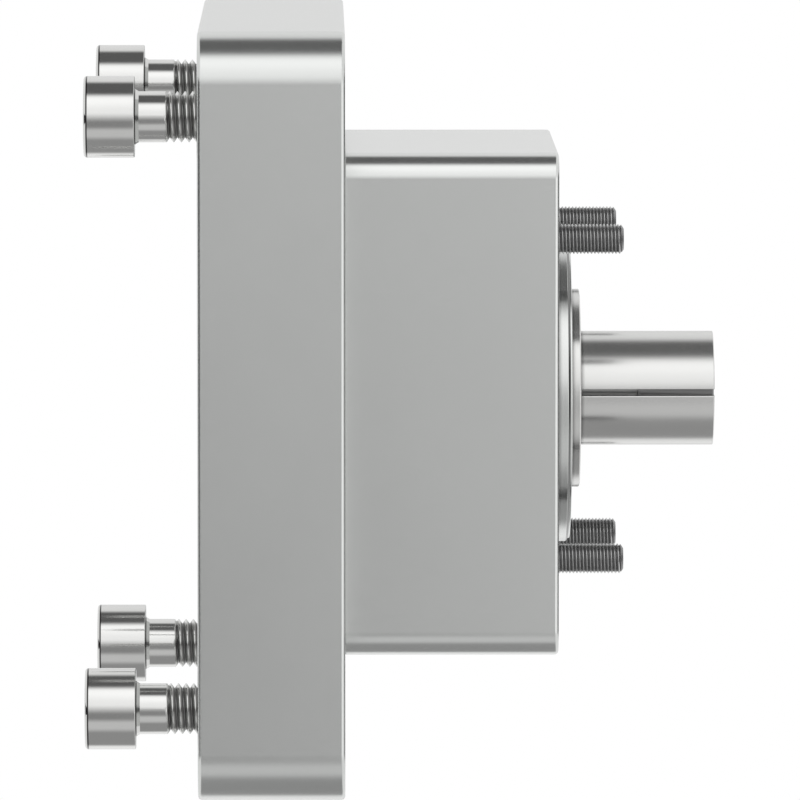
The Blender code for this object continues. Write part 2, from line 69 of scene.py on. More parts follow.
# Edges that bend by more than this limit stay sharp.
SMOOTH_LIMIT = radians(28)
# Points closer than a weld become one, and points within the last distance lie in one plane.
WELD = 0.001 * MM
THREAD_WELD = 0.002 * MM
IN_PLANE = 0.01 * MM
# Steps round turned shapes, and segments across rounded edges.
LARGE_STEPS = 160
HUB_STEPS = 128
HEAD_STEPS = 96
THREAD_STEPS = 64
LIP_STEPS = 6
CORNER_SEGMENTS = 16
EDGE_SEGMENTS = 5
SOFT_SEGMENTS = 4

# Cutters run past the faces that they cut, and holes past the screws in them.
OVERRUN = 3.0 * MM
BLIND_END = 2.0 * MM
INTO_POCKET = 1.0 * MM
# Turned edges and corners have one of these roundings.
HAIR_ROUND = 0.05 * MM
FINE_ROUND = 0.1 * MM
RIM_ROUND = 0.15 * MM
POCKET_ROUND = 0.2 * MM
FOOT_ROUND = 0.25 * MM
TURNED_ROUND = 0.3 * MM
WIDE_ROUND = 0.4 * MM
HUB_ROUND = 0.6 * MM

# Radii of the threads, and of an M6 screw's head.
M10_RADIUS = 5.0 * MM
M8_RADIUS = 4.0 * MM
M6_RADIUS = 3.0 * MM
M5_RADIUS = 2.5 * MM
M6_HEAD_RADIUS = 5.0 * MM
# A cap screw's neck and the rounding of its head's rim are shares of the thread's diameter.
NECK_SHARE = 0.08
RIM_SHARE = 0.07
# The neck's flare is a share of its length, and the rounding under the head is a share of the rim's.
NECK_FLARE = 0.6
UNDERSIDE_SHARE = 0.3
# The socket's lead-in and its floor's inset are shares of the key size, and its depth of the head's height.
SOCKET_LEAD = 0.06
SOCKET_FLOOR = 0.3
SOCKET_DEPTH = 0.5
# A ring of the socket is inset by this much before its points are put in place.
SOCKET_INSET = 0.1 * MM
# A thread's form is in shares of its pitch. Its tip is a cone that starts at a share of the radius.
THREAD_ROOT = 0.05
THREAD_CREST = 0.1
THREAD_DEPTH = 0.6134
THREAD_RUN_IN = 0.3
THREAD_AHEAD = 0.4
TIP_SHARE = 0.7
TIP_SLOPE = 1.5

# The housing and the coupling.
DRIVE_HOLE_LEAD = 0.3 * MM
PILOT_SLOPE = 1.4
JAW_COUNT = 3
SLIT_PAST_JAWS = 2.0 * MM
LEG_ROOT = 1.5 * MM
CONE_ANGLE = radians(10.5)

# Levels of painted shade on the metal, at the foot of steps, in bands, on screw lines and in thread grooves,
# are shares of its own colour.
STEP_PAINTED_SHADE_LEVEL = 0.42
BAND_PAINTED_SHADE_LEVEL = 0.24
SCREW_LINE_PAINTED_SHADE_LEVEL = 0.09
GROOVE_PAINTED_SHADE_LEVEL = 0.5
# Where the painted shade at the foot of a step starts and is darkest, and how soft the edges of a painted
# shade band are.
FOOT_START = 0.02 * MM
FOOT_DARKEST = 0.06 * MM
BAND_EDGE = 0.05 * MM
# Two painted shade lines on a motor screw, from the end of its head and from the seat of its head.
RIM_LINE = (0.45 * MM, 0.75 * MM)
SEAT_LINE = (-0.05 * MM, 0.15 * MM)
# The depth in a thread, 0 on its crest and 1 in its root, and the depths where its painted shade begins and
# ends.
GROOVE = "groove"
GROOVE_SHADE = (0.2, 0.65)
# How strongly a lathe's rings show.
FINE_RINGS = 0.05
COARSE_RINGS = 0.08


def length(name, description, millimetres):
    """A length that a user can change, in metres with a millimetre default."""
    return FloatProperty(
        name=name, description=description, default=millimetres * MM,
        unit="LENGTH", subtype="DISTANCE", precision=5,
    )


def share(name, description, value):
    """A number from 0 to 1 that a user can change."""
    return FloatProperty(
        name=name, description=description, default=value, min=0.0, max=1.0, subtype="FACTOR",
    )


def tint(name, description, red, green, blue):
    """A colour that a user can change."""
    return FloatVectorProperty(
        name=name, description=description, default=(red, green, blue), size=3,
        min=0.0, max=1.0, subtype="COLOR",
    )


class KitSizes(bpy.types.PropertyGroup):
    """Sizes that the boxes of the solids don't give."""

    flange_corner: length("Flange corner", "Radius of the motor flange's long corners", 10.0)
    housing_corner: length("Housing corner", "Radius of the coupling housing's long corners", 5.0)
    edge_round: length("Edge rounding", "Radius of the plates' machined edges", 0.8)
    seam: length("Seam", "Hairline between the flange and the housing", 0.05)
    seam_setback: length("Seam setback", "How far the flange's milled front lies behind its solid's", 0.15)
    seam_round: length("Seam rounding", "Radius of the housing's edge along the seam", 0.25)
    hole_lead: length("Hole lead-in", "Chamfer at the mouth of a hole", 0.5)
    recess_diameter: length("Motor recess", "Diameter of the recess for the motor's pilot", 130.0)
    recess_depth: length("Recess depth", "Depth of the recess for the motor's pilot", 5.0)
    bore_diameter: length("Bore", "Diameter of the bore round the coupling", 47.94)
    lip_diameter: length("Bore lip", "Diameter of the bore's narrow end round the collar", 41.2)
    lip_length: length("Lip length", "Length of the bore's narrow end", 7.5)
    pilot_diameter: length("Drive pilot", "Diameter of the spigot on the drive side", 62.0)
    pilot_length: length("Pilot length", "Length of the spigot on the drive side", 3.0)
    pilot_lead: length("Pilot lead-in", "Length of the chamfer on the spigot's rim", 0.45)
    pilot_land: length("Pilot land", "Length of the land between the spigot's chamfer and its end", 0.36)
    access_diameter: length("Access hole", "Diameter of the hole for the clamp screw's key", 9.0)
    fit_gap: length("Fit gap", "Clearance between pieces that fit each other", 0.3)
    motor_head: length("Motor screw head", "Height of an M10 screw's head", 10.0)
    motor_pitch: length("Motor screw pitch", "Thread pitch of the M10 screws", 1.5)
    motor_plain: length("Motor screw neck", "Plain shank under an M10 screw's head", 6.1)
    motor_socket: length("Motor screw socket", "Key size of the M10 screws", 8.0)
    drive_head: length("Drive screw head", "Height of a drive screw's head", 6.0)
    drive_pitch: length("Drive screw pitch", "Thread pitch of the drive screws", 0.70)
    drive_thread: length("Drive screw thread", "Threaded length at a drive screw's end", 19.0)
    drive_socket: length("Drive screw socket", "Key size of the drive screws", 5.0)
    flange_head: length("Flange screw head", "Height of a flange screw's head", 6.0)
    flange_pitch: length("Flange screw pitch", "Thread pitch of the flange screws", 1.0)
    flange_thread: length("Flange screw thread", "Threaded length at a flange screw's end", 18.0)
    flange_socket: length("Flange screw socket", "Key size of the flange screws", 5.0)
    tension_head: length("Tension screw head", "Height of the tension screw's head", 8.0)
    tension_pitch: length("Tension screw pitch", "Thread pitch of the tension screw", 1.25)
    tension_thread: length("Tension screw thread", "Threaded length at the tension screw's end", 13.0)
    tension_socket: length("Tension screw socket", "Key size of the tension screw", 6.0)
    clamp_head: length("Clamp screw head", "Height of the clamp screw's head", 5.0)
    clamp_pitch: length("Clamp screw pitch", "Thread pitch of the clamp screw", 0.8)
    clamp_thread: length("Clamp screw thread", "Threaded length at the clamp screw's end", 12.0)
    clamp_socket: length("Clamp screw socket", "Key size of the clamp screw", 4.0)
    clamp_ear: length("Clamp ear", "Metal between the hub's slit and the clamp screw's head", 5.5)
    clamp_slit: length("Clamp slit", "Width of the motor hub's slit", 2.0)
    collar_face: length("Collar face", "How far the collar stands out of the housing", 5.0)
    collar_flange: length("Collar length", "Length of the collar from its jaws to its face", 10.0)
    collar_round: length("Collar rounding", "Radius of the collar's rim", 0.3)
    mandrel_diameter: length("Mandrel", "Diameter of the expanding mandrel", 23.0)
    mandrel_round: length("Mandrel rounding", "Radius of the mandrel's outer rim", 0.2)
    mandrel_slit: length("Mandrel slit", "Width of the slit through the mandrel", 1.25)
    upper_lip: length("Upper slit lip", "Rounding along the slit's upper edge in front", 0.12)
    lower_lip: length("Lower slit lip", "Rounding along the slit's lower edge in front", 0.3)
    cone_mouth: length("Cone mouth", "Diameter of the mandrel's conical mouth at its end", 18.2)
    cone_depth: length("Cone depth", "Depth of the mandrel's conical mouth", 15.3)
    cone_floor: length("Cone floor", "Diameter of the conical mouth at its bottom", 12.5)
    shaft_bore: length("Motor shaft bore", "Diameter of the motor hub's bore", 24.0)
    jaw_root: length("Jaw root", "Gap between a hub's jaw ends and the other hub", 2.5)
    jaw_space: length("Jaw space", "Distance between the two hubs' flanges", 16.0)
    leg_width: length("Spider leg", "Width of a spider leg", 7.0)
    spider_bore: length("Spider bore", "Diameter of the hole in the spider", 18.0)
    spider_round: length("Spider rounding", "Radius of the spider's moulded edges", 0.6)
    # How far the painted shade at the foot of a step reaches.
    painted_shade_reach: length("Foot shade", "How far the dark film reaches from the foot of a step", 1.1)


class KitFinish(bpy.types.PropertyGroup):
    """Colours and polish of the materials."""

    flange_colour: tint("Flange", "Milled aluminium of the motor flange", 0.62, 0.63, 0.62)
    flange_polish: share("Flange roughness", "Roughness of the motor flange", 0.24)
    housing_colour: tint("Housing", "Milled aluminium of the coupling housing", 0.64, 0.65, 0.64)
    housing_polish: share("Housing roughness", "Roughness of the coupling housing", 0.22)
    screw_colour: tint("Bright screws", "Polished steel of the screws", 0.64, 0.64, 0.63)
    screw_polish: share("Screw roughness", "Roughness of the bright screws", 0.12)
    drive_colour: tint("Drive screws", "Rolled steel of the drive screws", 0.54, 0.54, 0.54)
    drive_polish: share("Drive screw roughness", "Roughness of the drive screws", 0.22)
    hub_colour: tint("Drive hub", "Turned steel of the drive hub", 0.64, 0.64, 0.63)
    hub_polish: share("Drive hub roughness", "Roughness of the drive hub", 0.24)
    cone_colour: tint("Cone", "Phosphated steel of the expansion cone", 0.24, 0.24, 0.24)
    cone_polish: share("Cone roughness", "Roughness of the expansion cone", 0.3)
    tension_colour: tint("Tension screw", "Grey steel of the tension screw", 0.42, 0.42, 0.42)
    tension_polish: share("Tension screw roughness", "Roughness of the tension screw", 0.3)
    clamp_hub_colour: tint("Motor hub", "Turned aluminium of the motor hub", 0.62, 0.63, 0.63)
    clamp_hub_polish: share("Motor hub roughness", "Roughness of the motor hub", 0.26)
    dark_colour: tint("Dark screws", "Blackened steel of the clamp screw", 0.10, 0.10, 0.11)
    dark_polish: share("Dark screw roughness", "Roughness of the blackened clamp screw", 0.34)
    spider_colour: tint("Spider", "Elastomer of the coupling's spider", 0.46, 0.05, 0.04)
    spider_polish: share("Spider roughness", "Roughness of the spider", 0.42)


class Wire:
    """A shader socket that can be written in a formula."""

    def __init__(self, tree, socket=None):
        self.tree = tree
        self.socket = socket

    def node(self, kind, settings=None, sockets=None, output=0):
        """Add a node with its settings and the values or links of its sockets, and take one output."""
        added = self.tree.nodes.new(kind)
        for name, value in (settings or {}).items():
            setattr(added, name, value)
        for name, value in (sockets or {}).items():
            if isinstance(value, Wire):
                self.tree.links.new(value.socket, added.inputs[name])
            else:
                added.inputs[name].default_value = value
        return Wire(self.tree, added.outputs[output])

    def math(self, operation, first, second=0.0):
        """A step of a formula on one or two values."""
        return self.node("ShaderNodeMath", {"operation": operation}, {0: first, 1: second})

    def __add__(self, other):
        return self.math("ADD", self, other)

    def __radd__(self, other):
        return self.math("ADD", other, self)

    def __sub__(self, other):
        return self.math("SUBTRACT", self, other)

    def __rsub__(self, other):
        return self.math("SUBTRACT", other, self)

    def __mul__(self, other):
        return self.math("MULTIPLY", self, other)

    def __rmul__(self, other):
        return self.math("MULTIPLY", other, self)

    def root(self):
        return self.math("SQRT", self)

    def parts(self):
        """The X, Y and Z of a vector."""
        split = self.node("ShaderNodeSeparateXYZ", sockets={0: self})
        return [Wire(self.tree, socket) for socket in split.socket.node.outputs]

    def ease(self, low, high):
        """0 below low and 1 above high, smooth between them."""
        return self.node(
            "ShaderNodeMapRange", {"interpolation_type": "SMOOTHSTEP"},
            {"Value": self, "From Min": low, "From Max": high},
        )

    def within(self, start, end, edge):
        """1 between two values and 0 outside them, with soft edges."""
        return self.ease(start - edge, start + edge) - self.ease(end - edge, end + edge)

    def swing(self, spread):
        """From half a spread below 0 to half a spread above it, as this value goes from 0 to 1."""
        return (self - 0.5) * spread

    def noise(self, scale, detail, roughness=0.5):
        """Noise from 0 to 1 at this place."""
        sockets = {"Vector": self, "Scale": scale, "Detail": detail, "Roughness": roughness}
        return self.node("ShaderNodeTexNoise", sockets=sockets)

    def blend(self, first, second):
        """From a first to a second colour as this value goes from 0 to 1."""
        return self.node("ShaderNodeMix", {"data_type": "RGBA"}, {0: self, 6: first, 7: second}, 2)


def opaque(colour, level=1.0):
    """A colour at a level of its brightness, with full cover."""
    return (*[part * level for part in colour], 1.0)


def object_place(tree):
    """Where a point lies on its piece, in metres."""
    return Wire(tree).node("ShaderNodeTexCoord", output="Object")


def new_material(name, colour, metallic):
    """A material with a plain colour, its shader, and the place on the piece to build the rest on."""
    material = bpy.data.materials.new(name)
    material.use_nodes = True
    shader = material.node_tree.nodes["Principled BSDF"]
    shader.inputs["Base Color"].default_value = opaque(colour)
    shader.inputs["Metallic"].default_value = metallic
    return material, shader, object_place(material.node_tree)


def set_surface(material, shader, colour, roughness, height, strength, distance):
    """Link what varies over a surface to its shader."""
    links = material.node_tree.links
    bump = height.node(
        "ShaderNodeBump", sockets={"Height": height, "Strength": strength, "Distance": distance},
    )
    links.new(colour.socket, shader.inputs["Base Color"])
    links.new(roughness.socket, shader.inputs["Roughness"])
    links.new(bump.socket, shader.inputs["Normal"])


def painted_shade_at_steps(x, steps, reach):
    """1 at the foot of each step along the shaft, where shade is painted, and 0 past its reach."""
    painted_mask = 0.0
    for step in steps:
        darkest = step + FOOT_DARKEST
        painted_mask = painted_mask + (x.ease(step + FOOT_START, darkest) - x.ease(darkest, step + reach))
    return painted_mask


def painted_shade_in_bands(x, bands):
    """1 in each band of painted shade between two places along the shaft, with soft edges."""
    painted_mask = 0.0
    for first, last in bands:
        painted_mask = painted_mask + x.within(first, last, BAND_EDGE)
    return painted_mask


def milled_aluminium(name, colour, polish, steps=(), reach=0.0, bands=()):
    """Satin metal: a short grain along the shaft, a faint cloud, and painted shade at steps and in bands."""
    material, shader, place = new_material(name, colour, 1.0)
    stretched = place.node("ShaderNodeMapping", sockets={"Vector": place, "Scale": (500.0, 2600.0, 2600.0)})
    grain = stretched.noise(scale=1.0, detail=3.0, roughness=0.6)
    cloud = place.noise(scale=45.0, detail=2.0)
    tone = cloud * 0.5 + grain * 0.5
    shade = tone.blend(opaque(colour, 0.985), opaque(colour, 1.015))
    # Painted shade at the foot of each step.
    if steps:
        shade = painted_shade_at_steps(place.parts()[0], steps, reach).blend(shade, opaque(colour, STEP_PAINTED_SHADE_LEVEL))
    # Painted shade in each band.
    if bands:
        shade = painted_shade_in_bands(place.parts()[0], bands).blend(shade, opaque(colour, BAND_PAINTED_SHADE_LEVEL))
    roughness = polish + grain.swing(0.06) + cloud.swing(0.03)
    set_surface(material, shader, shade, roughness, grain, strength=0.04, distance=0.02 * MM)
    return material


def turned_metal(name, colour, polish, ring_depth, steps=(), reach=0.0):
    """Lathe-turned metal: fine rings that vary in polish and height, and painted shade at the foot of steps.
    """
    material, shader, place = new_material(name, colour, 1.0)
    x, y, z = place.parts()
    feed = x + (y * y + z * z).root()
    rings = feed.node(
        "ShaderNodeTexNoise", {"noise_dimensions": "1D"}, {"W": feed, "Scale": 4200.0, "Detail": 2.0},
    )
    cloud = place.noise(scale=120.0, detail=2.0)
    tone = rings * 0.6 + cloud * 0.4
    shade = tone.blend(opaque(colour, 0.975), opaque(colour, 1.02))
    # Painted shade at the foot of each step.
    if steps:
        shade = painted_shade_at_steps(x, steps, reach).blend(shade, opaque(colour, STEP_PAINTED_SHADE_LEVEL))
    roughness = polish + rings.swing(0.05) + cloud.swing(0.03)
    set_surface(material, shader, shade, roughness, rings, strength=ring_depth, distance=0.01 * MM)
    return material


def bright_steel(name, colour, polish, bands=()):
    """Rolled and polished screw steel with a fine speckle, painted shade and more roughness in its grooves,
    and painted shade in bands.
    """
    material, shader, place = new_material(name, colour, 1.0)
    speckle = place.noise(scale=2400.0, detail=2.0)
    cloud = place.noise(scale=160.0, detail=2.0)
    depth = place.node("ShaderNodeAttribute", {"attribute_name": GROOVE}, output="Fac")
    groove = depth.ease(*GROOVE_SHADE)
    shade = cloud.blend(opaque(colour, 0.97), opaque(colour, 1.03))
    # Painted shade in the thread's grooves.
    shade = groove.blend(shade, opaque(colour, GROOVE_PAINTED_SHADE_LEVEL))
    # Painted shade lines in bands.
    if bands:
        shade = painted_shade_in_bands(place.parts()[0], bands).blend(shade, opaque(colour, SCREW_LINE_PAINTED_SHADE_LEVEL))
    roughness = polish + speckle.swing(0.06) + cloud.swing(0.04) + groove * 0.2
    set_surface(material, shader, shade, roughness, speckle, strength=0.03, distance=0.01 * MM)
    return material


def blackened_steel(name, colour, polish):
    """Blackened screw steel with lighter worn patches."""
    material, shader, place = new_material(name, colour, 1.0)
    wear = place.noise(scale=420.0, detail=4.0)
    speckle = place.noise(scale=2800.0, detail=2.0)
    shade = wear.ease(0.55, 0.75).blend(opaque(colour), opaque(colour, 1.9))
    roughness = polish + wear.swing(0.16)
    set_surface(material, shader, shade, roughness, speckle, strength=0.08, distance=0.02 * MM)
    return material


def moulded_elastomer(name, colour, polish):
    """Moulded elastomer with a soft mottle and a faint matt grain."""
    material, shader, place = new_material(name, colour, 0.0)
    mottle = place.noise(scale=180.0, detail=3.0)
    grain = place.noise(scale=3000.0, detail=2.0)
    shade = mottle.blend(opaque(colour, 0.9), opaque(colour, 1.1))
    roughness = polish + grain.swing(0.12)
    set_surface(material, shader, shade, roughness, grain, strength=0.1, distance=0.02 * MM)
    return material


def whole(shape):
    """All the points, edges and faces of a bmesh."""
    return shape.verts[:] + shape.edges[:] + shape.faces[:]


def made(result, kind):
    """The items of one kind among what an operator made."""
    return [item for item in result["geom"] if isinstance(item, kind)]


def lies_at(edge, x):
    """Whether both ends of an edge lie at a place along the shaft."""
    return all(abs(point.co.x - x) < IN_PLANE for point in edge.verts)


def soften(shape, geometry, radius, segments, affect="EDGES"):
    """Round some edges or points of a bmesh."""
    bmesh.ops.bevel(
        shape, geom=geometry, offset=radius, offset_type="OFFSET", segments=segments,
        profile=0.5, affect=affect, material=-1,
    )


def turned(corners, steps, closed=True):
    """Turn corners of (place along the shaft, radius, rounding) about the shaft, as a bmesh."""
    shape = bmesh.new()
    points = [shape.verts.new((x, 0.0, radius)) for x, radius, rounding in corners]
    for first, second in zip(points, points[1:]):
        shape.edges.new((first, second))
    if closed:
        shape.edges.new((points[-1], points[0]))
    for point, (x, radius, rounding) in zip(points, corners):
        if rounding > 0.0:
            soften(shape, [point], rounding, EDGE_SEGMENTS, "VERTICES")
    bmesh.ops.spin(
        shape, geom=whole(shape), cent=ORIGIN, axis=SHAFT_AXIS, angle=FULL_TURN, steps=steps,
        use_merge=True, use_duplicate=False,
    )
    bmesh.ops.remove_doubles(shape, verts=shape.verts, dist=WELD)
    bmesh.ops.recalc_face_normals(shape, faces=shape.faces)
    return shape


def moved(shape, place):
    """Move a bmesh, and give it back."""
    bmesh.ops.translate(shape, vec=Vector(place), verts=shape.verts)
    return shape


def rotated(shape, angle, axis):
    """Turn a bmesh about an axis through the origin, and give it back."""
    bmesh.ops.rotate(shape, cent=ORIGIN, matrix=Matrix.Rotation(angle, 3, axis), verts=shape.verts)
    return shape


def block(low, high):
    """A box between two corners, as a bmesh."""
    low, high = Vector(low), Vector(high)
    shape = bmesh.new()
    bmesh.ops.create_cube(shape, size=1.0)
    bmesh.ops.scale(shape, vec=high - low, verts=shape.verts)
    return moved(shape, (low + high) / 2)


def machined_block(low, high, corner, back_round, front_round):
    """A milled block along the shaft: large round long corners, and a small rounding on its end faces."""
    shape = block(low, high)
    long_edges = [edge for edge in shape.edges if not (lies_at(edge, low[0]) or lies_at(edge, high[0]))]
    soften(shape, long_edges, corner, CORNER_SEGMENTS)
    for place, rounding in ((low[0], back_round), (high[0], front_round)):
        rims = [edge for edge in shape.edges if lies_at(edge, place)]
        soften(shape, rims, rounding, EDGE_SEGMENTS)
    bmesh.ops.recalc_face_normals(shape, faces=shape.faces)
    return shape


def hole(start, end, radius, lead, mouth_first, mouth_last):
    """A cutter along the shaft for a round hole with a chamfer at the mouths that it has."""
    corners = [(start, 0.0, 0.0)]
    if mouth_first:
        corners += [(start, radius + lead + OVERRUN, 0.0), (start + OVERRUN + lead, radius, 0.0)]
    else:
        corners += [(start, radius, 0.0)]
    if mouth_last:
        corners += [(end - OVERRUN - lead, radius, 0.0), (end, radius + lead + OVERRUN, 0.0)]
    else:
        corners += [(end, radius, 0.0)]
    corners += [(end, 0.0, 0.0)]
    return turned(corners, HEAD_STEPS, closed=False)


def make_object(name, shape):
    """An object at the origin from a bmesh."""
    mesh = bpy.data.meshes.new(name)
    shape.to_mesh(mesh)
    shape.free()
    piece = bpy.data.objects.new(name, mesh)
    bpy.context.scene.collection.objects.link(piece)
    return piece


def carve(piece, shape, operation="DIFFERENCE"):
    """Cut a bmesh from a piece, or join it to it."""
    tool = make_object("carving_tool", shape)
    change = piece.modifiers.new("carve", "BOOLEAN")
    change.operation = operation
    change.object = tool
    change.solver = "EXACT"
    bpy.context.view_layer.update()
    carved = piece.evaluated_get(bpy.context.evaluated_depsgraph_get())
    mesh = bpy.data.meshes.new_from_object(carved)
    piece.modifiers.clear()
    used = piece.data
    piece.data = mesh
    mesh.name = piece.name
    bpy.data.meshes.remove(used)
    bpy.data.objects.remove(tool, do_unlink=True)


def dress(piece, material, body, nodes):
    """Smooth a piece, give it its material, parent it to its body's empty and hide the solids that it stands
    for.
    """
    mesh = piece.data
    mesh.materials.clear()
    mesh.materials.append(material)
    mesh.polygons.foreach_set("material_index", [0] * len(mesh.polygons))
    mesh.shade_smooth()
    mesh.set_sharp_from_angle(angle=SMOOTH_LIMIT)
    even = piece.modifiers.new("even normals", "WEIGHTED_NORMAL")
    even.keep_sharp = True
    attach(piece, body)
    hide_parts(*nodes)


def screw_head(radius, height, neck_radius, neck_length, socket, rim):
    """A cap screw's head, open at the neck. It rests at 0 and stands out to -height."""
    corners = [
        (-height, 0.0, 0.0),
        (-height, radius, rim),
        (0.0, radius, UNDERSIDE_SHARE * rim),
        (0.0, neck_radius + NECK_FLARE * neck_length, 0.0),
        (neck_length, neck_radius, 0.0),
    ]
    shape = turned(corners, HEAD_STEPS, closed=False)
    top = [face for face in shape.faces if abs(face.calc_center_median().x + height) < WELD]
    bmesh.ops.dissolve_faces(shape, faces=top)
    shape.normal_update()
    top = [face for face in shape.faces if len(face.verts) >= HEAD_STEPS]
    corner_radius = socket / sqrt(3)
    lead = SOCKET_LEAD * socket
    mouth = socket_ring(shape, top, -height, lambda angle: corner_radius + lead)
    hexagon = socket_ring(shape, mouth, lead - height, lambda angle: hexagon_radius(angle, socket))
    deep = bmesh.ops.extrude_face_region(shape, geom=hexagon)
    inner = made(deep, bmesh.types.BMVert)
    floor = made(deep, bmesh.types.BMFace)
    bmesh.ops.delete(shape, geom=hexagon, context="FACES_ONLY")
    bmesh.ops.translate(shape, vec=(SOCKET_DEPTH * height, 0.0, 0.0), verts=inner)
    bmesh.ops.inset_region(shape, faces=floor, thickness=SOCKET_FLOOR * socket, depth=0.0)
    return shape


def hexagon_radius(angle, across_flats):
    """How far a hexagon's side lies from its middle at an angle."""
    sector = pi / 3
    return across_flats / 2 / cos((angle % sector) - sector / 2)


def socket_ring(shape, faces, x, radius_at):
    """Inset a flat top, put the inner ring's points at a radius for each angle, and give the inner face."""
    bmesh.ops.inset_region(shape, faces=faces, thickness=SOCKET_INSET, depth=0.0, use_even_offset=True)
    for point in {point for face in faces for point in face.verts}:
        direction = Vector((0.0, point.co.y, point.co.z)).normalized()
        angle = Vector((1.0, 0.0)).angle_signed(Vector((direction.y, direction.z))) % FULL_TURN
        point.co = direction * radius_at(angle)
        point.co.x = x
    return faces


def threaded_shank(radius, thread_start, end, pitch):
    """A right-hand thread along the shaft, from an open plain ring to a chamfered tip."""
    root, crest = THREAD_ROOT * pitch, THREAD_CREST * pitch
    flank = (pitch - root - crest) / 2
    valley = radius - THREAD_DEPTH * pitch
    outline = [
        (0.0, valley),
        (root, valley),
        (root + flank, radius),
        (pitch - flank, radius),
        (pitch, valley),
    ]
    shape = bmesh.new()
    points = [shape.verts.new((thread_start - 2 * pitch + x, 0.0, height)) for x, height in outline]
    edges = [shape.edges.new(pair) for pair in zip(points, points[1:])]
    bmesh.ops.subdivide_edges(shape, edges=[edges[1], edges[3]], cuts=3)
    bmesh.ops.spin(
        shape, geom=whole(shape), cent=ORIGIN, axis=SHAFT_AXIS, dvec=(pitch / THREAD_STEPS, 0.0, 0.0),
        angle=FULL_TURN, steps=THREAD_STEPS, use_merge=False, use_duplicate=False,
    )
    turns = 1
    while turns < (end - thread_start) / pitch + 3:
        ahead = made(bmesh.ops.duplicate(shape, geom=whole(shape)), bmesh.types.BMVert)
        bmesh.ops.translate(shape, vec=(turns * pitch, 0.0, 0.0), verts=ahead)
        turns = 2 * turns
    bmesh.ops.remove_doubles(shape, verts=shape.verts, dist=THREAD_WELD)
    depth_layer = shape.verts.layers.float.new(GROOVE)
    for point in shape.verts:
        reach = Vector((0.0, point.co.y, point.co.z))
        groove = radius - reach.length
        run_in = min(max((point.co.x - thread_start) / (THREAD_RUN_IN * pitch), 0.0), 1.0)
        cone = TIP_SHARE * radius + TIP_SLOPE * max(end - point.co.x, 0.0)
        wanted = min(radius - groove * run_in, cone)
        point.co = reach.normalized() * wanted + Vector((point.co.x, 0.0, 0.0))
        point[depth_layer] = (radius - wanted) / (radius - valley)
    for place, side in ((thread_start - THREAD_AHEAD * pitch, -1.0), (end, 1.0)):
        bmesh.ops.bisect_plane(
            shape, geom=whole(shape), dist=WELD, plane_co=(place, 0.0, 0.0), plane_no=(side, 0.0, 0.0),
            clear_outer=True,
        )
    tip = [edge for edge in shape.edges if edge.is_boundary and lies_at(edge, end)]
    bmesh.ops.holes_fill(shape, edges=tip, sides=0)
    return shape


def cap_screw(radius, head_radius, head_height, shank_length, thread_start, pitch, socket):
    """A whole cap screw along the shaft. Its head rests at 0."""
    neck, rim = NECK_SHARE * 2 * radius, RIM_SHARE * 2 * radius
    screw = screw_head(head_radius, head_height, radius, neck, socket, rim)
    screw.verts.layers.float.new(GROOVE)
    shank = threaded_shank(radius, thread_start, shank_length, pitch)
    scratch = bpy.data.meshes.new("shank")
    shank.to_mesh(scratch)
    shank.free()
    screw.from_mesh(scratch)
    bpy.data.meshes.remove(scratch)
    open_edges = [edge for edge in screw.edges if edge.is_boundary]
    bmesh.ops.bridge_loops(screw, edges=open_edges)
    bmesh.ops.remove_doubles(screw, verts=screw.verts, dist=WELD)
    bmesh.ops.recalc_face_normals(screw, faces=screw.faces)
    return screw


def screw_row(name, nodes, radius, head_height, pitch, socket, thread_start=None, thread_length=None):
    """Like cap screws that fill the boxes of screw nodes along the shaft's direction."""
    low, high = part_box(nodes[0])
    shank_length = high.x - low.x - head_height
    if thread_start is None:
        thread_start = shank_length - thread_length
    pattern = cap_screw(
        radius, (high.y - low.y) / 2, head_height, shank_length, thread_start, pitch, socket,
    )
    screws = []
    for number, node in enumerate(nodes, start=1):
        low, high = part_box(node)
        seat = (low.x + head_height, (low.y + high.y) / 2, (low.z + high.z) / 2)
        screws.append(make_object(f"{name}_{number}", moved(pattern.copy(), seat)))
    pattern.free()
    return screws


def numbered(name):
    """The names of four like nodes."""
    return [f"{name}_{number}" for number in range(1, 5)]


def axis_places(nodes):
    """Where the axes of nodes cross the YZ plane."""
    places = []
    for node in nodes:
        low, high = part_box(node)
        places.append((0.0, (low.y + high.y) / 2, (low.z + high.z) / 2))
    return places


